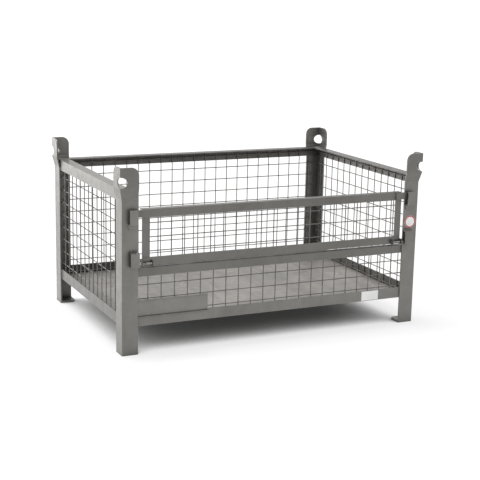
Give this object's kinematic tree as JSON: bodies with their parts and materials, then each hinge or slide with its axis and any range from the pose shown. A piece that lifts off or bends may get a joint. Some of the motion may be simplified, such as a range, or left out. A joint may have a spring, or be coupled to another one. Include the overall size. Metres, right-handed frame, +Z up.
{
  "type": "wire mesh container",
  "caption": "Stacking steel wire mesh container with corner posts, crane eyes, sheet floor and a front gate that lifts out of its cups and folds down.",
  "frame": {"origin": "centre of the footprint, on the ground under the feet", "axes": "X along the long side, Y from the gate side to the back, Z up"},
  "size_m": [1.218, 0.828, 0.668],
  "materials": {
    "frame_steel": "worn grey paint, semi-gloss",
    "wire_steel": "bare welded wire, satin",
    "sheet_steel": "rolled sheet, dull with streaks",
    "pin_steel": "turned steel, satin",
    "label_white": "film label, matt",
    "sticker_white": "film sticker, matt"
  },
  "bodies": {
    "frame": {"post_front_left": "frame_steel", "post_front_right": "frame_steel", "post_back_left": "frame_steel", "post_back_right": "frame_steel", "catch_front_left": "frame_steel", "catch_front_right": "frame_steel", "catch_back_left": "frame_steel", "catch_back_right": "frame_steel", "foot_front_left": "frame_steel", "foot_front_right": "frame_steel", "foot_back_left": "frame_steel", "foot_back_right": "frame_steel", "floor_rail_front": "frame_steel", "floor_rail_back": "frame_steel", "floor_rail_left": "frame_steel", "floor_rail_right": "frame_steel", "rim_rail_back": "frame_steel", "rim_rail_left": "frame_steel", "rim_rail_right": "frame_steel", "middle_rail_front": "frame_steel", "mesh_back": "wire_steel", "mesh_left": "wire_steel", "mesh_right": "wire_steel", "mesh_front": "wire_steel", "floor_sheet": "sheet_steel", "floor_bearer_left": "frame_steel", "floor_bearer_centre": "frame_steel", "floor_bearer_right": "frame_steel", "card_plate": "frame_steel", "data_label": "label_white", "round_sticker": "sticker_white", "arm_cup_left": "frame_steel", "arm_cup_right": "frame_steel", "pin_bracket_left": "frame_steel", "pin_bracket_right": "frame_steel"},
    "pivot_pins": {"pivot_pin_left": "pin_steel", "pivot_pin_right": "pin_steel"},
    "gate": {"gate_top_rail": "frame_steel", "gate_bottom_rail": "frame_steel", "gate_stile_left": "frame_steel", "gate_stile_right": "frame_steel", "gate_arm_left": "frame_steel", "gate_arm_right": "frame_steel", "gate_lug_left": "frame_steel", "gate_lug_right": "frame_steel", "gate_ear_left": "frame_steel", "gate_ear_right": "frame_steel", "gate_mesh": "wire_steel"}
  },
  "joints": [
    {"name": "gate_lift", "type": "slide", "parent": "frame", "child": "pivot_pins", "axis": [0, 0, 1], "range_m": [0, 0.031]},
    {"name": "gate_fold", "type": "hinge", "parent": "pivot_pins", "child": "gate", "pos_m": [0, -0.4075, 0.329], "axis": [1, 0, 0], "range_deg": [0, 180]}
  ]
}
